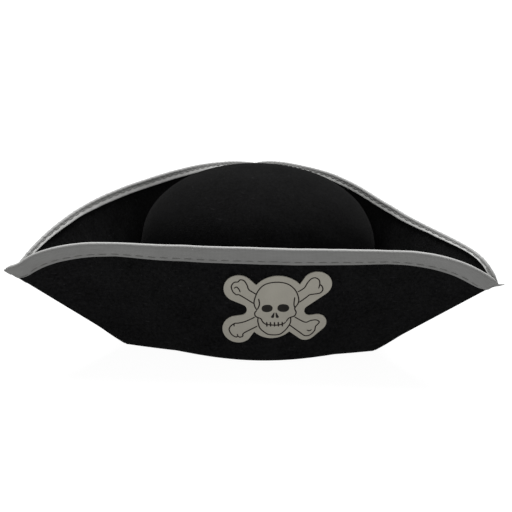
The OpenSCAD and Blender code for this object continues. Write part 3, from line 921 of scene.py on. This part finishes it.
def fill(loop, step):
    """Triangles over a closed loop, with inner points step apart. The loop's points come first."""
    low, high = loop.min(0), loop.max(0)
    gx, gy = np.meshgrid(*[np.arange(low[k] + step / 2, high[k], step) for k in (0, 1)])
    spots = np.stack([gx.ravel(), gy.ravel()], -1)
    spots = spots[inside(spots, loop)]
    gap = np.linalg.norm(spots[:, None] - loop[None], axis=-1).min(1)
    spots = spots[gap > step * 0.45]
    flat = np.concatenate([loop, spots])
    edges = [(k, (k + 1) % len(loop)) for k in range(len(loop))]
    made = geometry.delaunay_2d_cdt([Vector(p) for p in flat], edges, [], 1, 1e-5)
    return np.array([tuple(v) for v in made[0]]), [list(f) for f in made[2]], made[3]


def plaque(name, loop, low, high, round_by, step, material):
    """Thin solid over a closed outline on the front panel, with a rounded upper edge."""
    top = inset(loop, round_by)
    flat, faces, origins = fill(top, step)
    ring = [next(k for k, o in enumerate(origins) if i in o) for i in range(len(loop))]
    points = [place(flat, high)]
    count = len(flat)
    under = flat.copy()
    under[ring] = loop
    points.append(place(under, low))
    solid = [list(f) for f in faces] + [[count + i for i in reversed(f)] for f in faces]
    bands = [ring]
    for k, angle in enumerate((30, 60, 90)):
        a = math.radians(angle)
        flat_ring = inset(loop, round_by * (1 - math.sin(a)))
        points.append(place(flat_ring, high - round_by * (1 - math.cos(a))))
        bands.append([2 * count + k * len(loop) + i for i in range(len(loop))])
    bands.append([count + i for i in ring])
    for upper, lower in zip(bands, bands[1:]):
        for i in range(len(loop)):
            j = (i + 1) % len(loop)
            solid.append([upper[i], lower[i], lower[j], upper[j]])
    return build(name, np.concatenate(points), solid, material)


def patch_outline():
    return resample(np.concatenate([arc(*a) for a in PATCH_ARCS]), 0.8, closed=True)


PATCH_TOP = FILM_NEAR + FILM_T + 0.02 + PATCH_T
INK_H, LINE_W = 0.09, 1.0


def line_section():
    """Cross-section of a printed line: place across it, in widths, and height above the film."""
    return [(-0.5, 0.0), (-0.28, 0.8 * INK_H), (0.0, INK_H), (0.28, 0.8 * INK_H),
            (0.5, 0.0), (0.4, -0.1), (-0.4, -0.1)]


def ink_lines(name, lines, material):
    """Printed lines on the patch, thinner at their ends. Each is (points, width)."""
    flat, height, faces = [], [], []
    for line, width in lines:
        along = unit(np.gradient(line, axis=0))
        across = np.stack([-along[:, 1], along[:, 0]], -1)
        count = len(line)
        section = np.array(line_section())
        from_end = np.minimum(np.arange(count), count - 1 - np.arange(count))
        ends = np.minimum(1.0, 0.45 + 0.4 * from_end)[:, None, None]
        start = sum(len(f) for f in flat)
        flat.append((line[:, None] + across[:, None] * section[:, :1] * width * ends).reshape(-1, 2))
        height.append(np.tile(section[:, 1], count))
        faces += tube_faces(count, len(section), start)
    points = place(np.concatenate(flat), PATCH_TOP + np.concatenate(height))
    return build(name, points, faces, material)


def ellipse(x, y, a, b, tilt=0.0, power=2.0, step=0.5):
    t = np.linspace(0, 2 * math.pi, 80, endpoint=False)
    c, s = np.cos(t), np.sin(t)
    p = np.stack([a * np.sign(c) * np.abs(c) ** (2 / power), b * np.sign(s) * np.abs(s) ** (2 / power)], -1)
    k = math.radians(tilt)
    turn = np.array([[math.cos(k), math.sin(k)], [-math.sin(k), math.cos(k)]])
    return resample(p @ turn + [x, y], step, closed=True)


# Line drawing, in mm from the patch's centre: a skull seen from the front and the four bone ends behind it
SKULL = [
    [(-15.2, -2), (-17, 1.5), (-17.4, 6.5), (-14.4, 15.2), (-9, 20.6), (0, 22.4), (8, 20.6), (13.6, 15.2),
     (16.2, 8), (15.8, 3.6), (13.5, -0.5), (14.7, -4), (13.6, -7.1), (10.8, -8.3), (8.9, -9.4), (7.4, -12)],
    [(-15.2, -2), (-16.8, -4.5), (-16.2, -7.2), (-14.2, -8.4), (-12, -9.4), (-10.6, -12), (-8.2, -14.1),
     (-4, -14.8), (0, -15), (5, -14.1), (7.4, -12)],
    [(-14.2, -8.4), (-14.2, -12), (-12.6, -17.4), (-9.2, -21), (-5.2, -23.3), (2, -23.4), (5.6, -21),
     (8.8, -17), (10.6, -13), (10.8, -8.3)],
    [(-14.2, 8), (-13.4, 3), (-14.9, -1.6)],
    [(13.2, 9.4), (12.8, 3), (13.9, -0.6)],
]
BONES = [
    [(-15.5, 11.4), (-21.6, 15.4), (-23, 19), (-25.4, 23), (-28.4, 23.8), (-30.1, 22), (-33, 21.4),
     (-35, 18), (-33.8, 13.4), (-31, 10.8), (-28.4, 10.5), (-17.6, 3.6)],
    [(-33, 16.2), (-31.2, 17.5), (-29.2, 15.6), (-28.2, 13)],
    [(15.2, 13.8), (20, 17.4), (22.4, 22), (25, 25.4), (28, 26.4), (31, 24.4), (31.7, 20.6), (31, 16.6)],
    [(31.7, 20.6), (33.6, 18.4), (34.2, 15.4), (32.4, 12.6), (28, 11.8), (24.4, 11.2), (21.4, 8.6),
     (16.6, 4.6)],
    [(13.6, -8), (18, -11), (22.4, -13.3), (26, -12), (30.4, -11.8), (32.8, -14.2), (30.2, -17.6),
     (29.4, -21.6), (26, -25.2), (22, -25.4), (18.4, -22.4), (10, -15)],
    [(23.4, -20.4), (25.4, -21.3), (27.2, -20.3)],
    [(-16.4, -8), (-23.6, -12), (-29, -13.8), (-32, -14.3), (-35, -17), (-36, -20.2), (-34, -24.2),
     (-30.6, -26.3), (-29.2, -25.2), (-27.8, -26.3), (-25.4, -25.1), (-24.6, -22.3), (-14.4, -15.8)],
    [(-32, -14.3), (-32.4, -15.6), (-32.1, -17)],
    [(-29.2, -25.2), (-29.8, -23.4)],
]
TEETH = [-7.3, -4.5, -1.4, 1.5, 4.5]


def skull_lines():
    lines = [(curve(points), LINE_W) for points in SKULL]
    for x in TEETH:
        lines.append((curve([(x - 0.2, -12.2), (x, -14.3), (x + 0.1, -16.3)], 0.4), LINE_W * 1.15))
    return lines


def nostril(x, lean):
    """Teardrop-shaped hole, leaning outward to its lower end."""
    tip, low = np.array([[x, -4.0]]), arc(x + lean, -7.5, 1.25, -170, -10, 0.3)
    return resample(np.concatenate([low, tip + [0.3, 0], tip - [0.3, 0]]), 0.3, closed=True)


def skull_patch():
    outline = patch_outline()
    inner_loop = inset(outline, FILM_INSET)
    film = plaque("patch_adhesive", inner_loop, FILM_NEAR, FILM_NEAR + FILM_T, 0.05, 2.6, GLUE)
    place_piece(film, "patch_adhesive")
    body = plaque("skull_patch", outline, PATCH_TOP - PATCH_T, PATCH_TOP, 0.3, 2.2, PATCH)
    place_piece(body, "skull_patch")
    bones = [(curve(points), LINE_W) for points in BONES]
    place_piece(ink_lines("bones_print", bones, INK), "skull_patch")
    place_piece(ink_lines("skull_print", skull_lines(), INK), "skull_patch")
    fills = [("left_eye_print", ellipse(-7.5, -0.4, 4.2, 3.2, 4, 2.2)),
             ("right_eye_print", ellipse(4.8, -0.1, 4.5, 3.4, -3, 2.2)),
             ("left_nostril_print", nostril(-2.0, -1.2)), ("right_nostril_print", nostril(-0.7, 1.2))]
    for name, loop in fills:
        made = plaque(name, loop, PATCH_TOP - 0.1, PATCH_TOP + INK_H, 0.06, 0.9, SOCKET_INK)
        place_piece(made, "skull_patch")


# ---------------------------------------------------------------- assembly
front_brim = brim_panel("front_brim", FRONT)
right_brim = brim_panel("right_brim", RIGHT)
left_brim = brim_panel("left_brim", LEFT)
crown()
sweatband()

# shade: how dark the painted shade on the rear ribbons' fold band is; the front ribbon gets none.
REAR_CLOTH = {"flare": 0.9, "pucker": 0.3, "shade": 0.42}
BINDINGS = {
    "front": Binding(FRONT, FRONT_LEG, FRONT_INNER_LEG, flare=0.2, pucker=0.03, shade=0.0, seed=1.3),
    "right": Binding(RIGHT, REAR_LEG, RIGHT_INNER_LEG, seed=2.9, front_end=-1, **REAR_CLOTH),
    "left": Binding(LEFT, REAR_LEG, LEFT_INNER_LEG, seed=5.3, front_end=1, **REAR_CLOTH),
}
TAILS = {"front": (1.2, 9.0), "right": (0.0, 0.0), "left": (0.0, 0.0)}
for side, binding in BINDINGS.items():
    name = side + "_binding"
    ribbon = place_piece(binding.mesh(name, RAW_END, RAW_END, TAILS[side]), name)
    thread = place_piece(binding.stitches(name + "_stitches", 8, 8), name + "_stitches")
    binding.width() * MM

skull_patch()


def whip(az):
    t = np.linspace(-1, 1, 9)
    return az + 0.9 * t, 0.42 - 0.5 * t ** 4, FELT_T + 2.6 + 2.4 * t + 0 * az


def band_stitch(az):
    t = np.linspace(-1, 1, 7)
    return az + 1.6 * t, -0.05 + 0 * t, BAND_H + 0.32 - 0.4 * t ** 4 + 0 * az


ring_threads("crown_seam_stitches", 96, CROWN_R, whip)
ring_threads("sweatband_stitches", 72, HEAD_R + 0.5, band_stitch)


def point_stitches(name, p, q):
    """Short threads that close a point, over the ends of the two panels."""
    v = np.array([0.15, 0.35, 0.55])
    a_end, b_end = np.full(3, 0.975), np.full(3, -0.975)
    na, nb = p.normal(a_end, v), q.normal(b_end, v)
    start, stop = p.outer(a_end, v) - na * 0.15, q.outer(b_end, v) - nb * 0.15
    out = unit(flattened(start + stop))
    middle = (start + stop) / 2 + out * 1.1
    t = np.linspace(0, 1, 11)[:, None]
    path = start[:, None] * (1 - t) ** 2 + middle[:, None] * 2 * t * (1 - t) + stop[:, None] * t ** 2
    normal = np.broadcast_to(out[:, None], path.shape)
    threads = thread_mesh(name, path, normal, POINT_THREAD_R, BLACK_THREAD)
    return place_piece(threads, name)


point_stitches("right_point_stitches", FRONT, RIGHT)
point_stitches("rear_point_stitches", RIGHT, LEFT)
point_stitches("left_point_stitches", LEFT, FRONT)


# ---------------------------------------------------------------- floor, light and camera
def floor():
    """Pale floor that stays nearly white and keeps only a faint shadow."""
    made, tree, shader = new_material("pale_floor", Roughness=0.9, Specular_IOR_Level=0.0)
    shader.inputs["Base Color"].default_value = (0.12, 0.12, 0.12, 1)
    shader.inputs["Emission Color"].default_value = (1, 1, 1, 1)
    seen = add(tree, "LightPath").outputs["Is Camera Ray"]
    glow = add(tree, "MapRange", {"Value": seen, "To Min": 0.30, "To Max": 0.96})
    tree.links.new(glow.outputs["Result"], shader.inputs["Emission Strength"])
    work = bmesh.new()
    bmesh.ops.create_circle(work, cap_ends=True, segments=96, radius=8.0)
    mesh = bpy.data.meshes.new("floor")
    work.to_mesh(mesh)
    work.free()
    mesh.materials.append(made)
    thing = bpy.data.objects.new("floor", mesh)
    thing.location.z = -0.0002
    bpy.context.scene.collection.objects.link(thing)


def lights():
    scene = bpy.context.scene
    world = bpy.data.worlds.new("studio")
    scene.world = world
    world.use_nodes = True
    sky = world.node_tree.nodes["Background"]
    sky.inputs["Color"].default_value = (1, 1, 1, 1)
    seen = add(world.node_tree, "LightPath").outputs["Is Camera Ray"]
    glow = add(world.node_tree, "MapRange", {"Value": seen, "To Min": 0.3, "To Max": 1.0})
    world.node_tree.links.new(glow.outputs["Result"], sky.inputs["Strength"])
    top = bpy.data.lights.new("top_light", "SUN")
    top.energy = 5.0
    top.angle = math.radians(42)
    lamp = bpy.data.objects.new("top_light", top)
    lamp.rotation_euler = (math.radians(-30), 0, 0)
    scene.collection.objects.link(lamp)
    scene.view_settings.view_transform = "Standard"


def camera():
    """Camera 1.2 m away, 18 degrees up, rolled a little, as the hat was seen."""
    scene = bpy.context.scene
    lens = bpy.data.cameras.new("camera")
    lens.lens, lens.sensor_width = 103.4, 36.0
    lens.clip_start, lens.clip_end = 0.01, 50
    eye = bpy.data.objects.new("camera", lens)
    scene.collection.objects.link(eye)
    elevation, distance, roll = math.radians(18), 1.2, math.radians(1.6)
    target = Vector((-0.0012, 0, 0.0530))
    back = Vector((0, -math.cos(elevation), math.sin(elevation)))
    eye.location = target + back * distance
    turn = (-back).to_track_quat("-Z", "Y").to_matrix() @ Matrix.Rotation(roll, 3, "Z")
    eye.rotation_mode = "QUATERNION"
    eye.rotation_quaternion = turn.to_quaternion()
    scene.camera = eye


floor()
lights()
camera()
